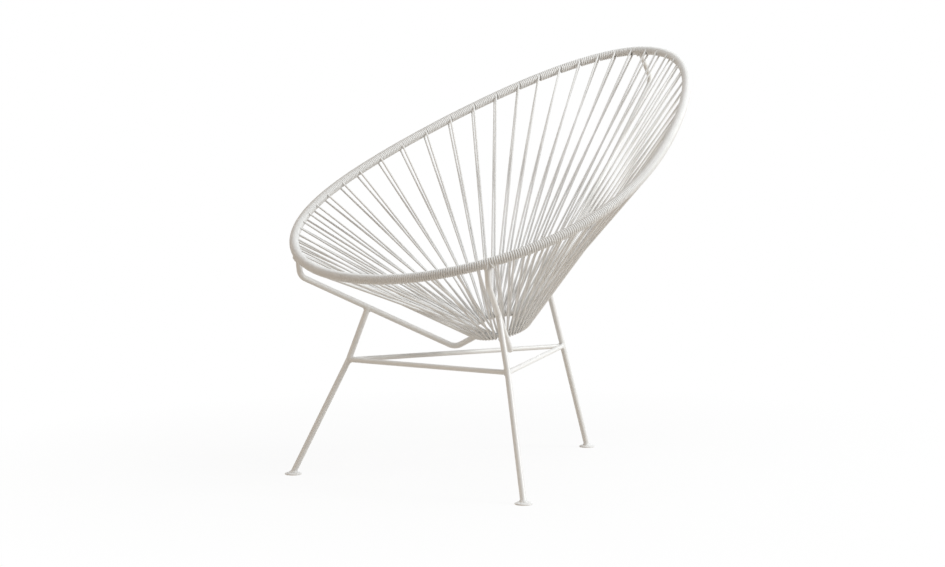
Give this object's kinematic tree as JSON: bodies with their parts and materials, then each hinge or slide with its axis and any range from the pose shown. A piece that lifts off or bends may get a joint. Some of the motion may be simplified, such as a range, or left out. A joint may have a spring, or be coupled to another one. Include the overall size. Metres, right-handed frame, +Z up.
{
  "type": "acapulco chair",
  "caption": "Low lounge chair: tilted egg-shaped rim on a rod frame with disc feet, its open bowl made of plastic cord that is wound round the rim and run down to a small seat ring.",
  "frame": {"origin": "on the floor under the middle of the chair's bounding box", "axes": "+Z up; the sitter faces -Y; +X is the sitter's left side"},
  "size_m": [0.7536, 1.0548, 0.8971],
  "materials": {
    "frame_paint": "satin powder coat",
    "cord_plastic": "soft sheen"
  },
  "bodies": {
    "root": {"rim_hoop": "frame_paint", "seat_ring": "frame_paint", "arm_front_left": "frame_paint", "leg_front_left": "frame_paint", "foot_front_left": "frame_paint", "arm_front_right": "frame_paint", "leg_front_right": "frame_paint", "foot_front_right": "frame_paint", "arm_back": "frame_paint", "leg_back": "frame_paint", "foot_back": "frame_paint", "stretcher_front": "frame_paint", "stretcher_left": "frame_paint", "stretcher_right": "frame_paint", "cord_panel_01": "cord_plastic", "cord_panel_02": "cord_plastic", "cord_panel_03": "cord_plastic", "cord_panel_04": "cord_plastic", "cord_panel_05": "cord_plastic", "cord_panel_06": "cord_plastic", "cord_panel_07": "cord_plastic", "cord_panel_08": "cord_plastic", "cord_panel_09": "cord_plastic", "cord_panel_10": "cord_plastic", "cord_panel_11": "cord_plastic", "cord_panel_12": "cord_plastic"}
  },
  "joints": []
}
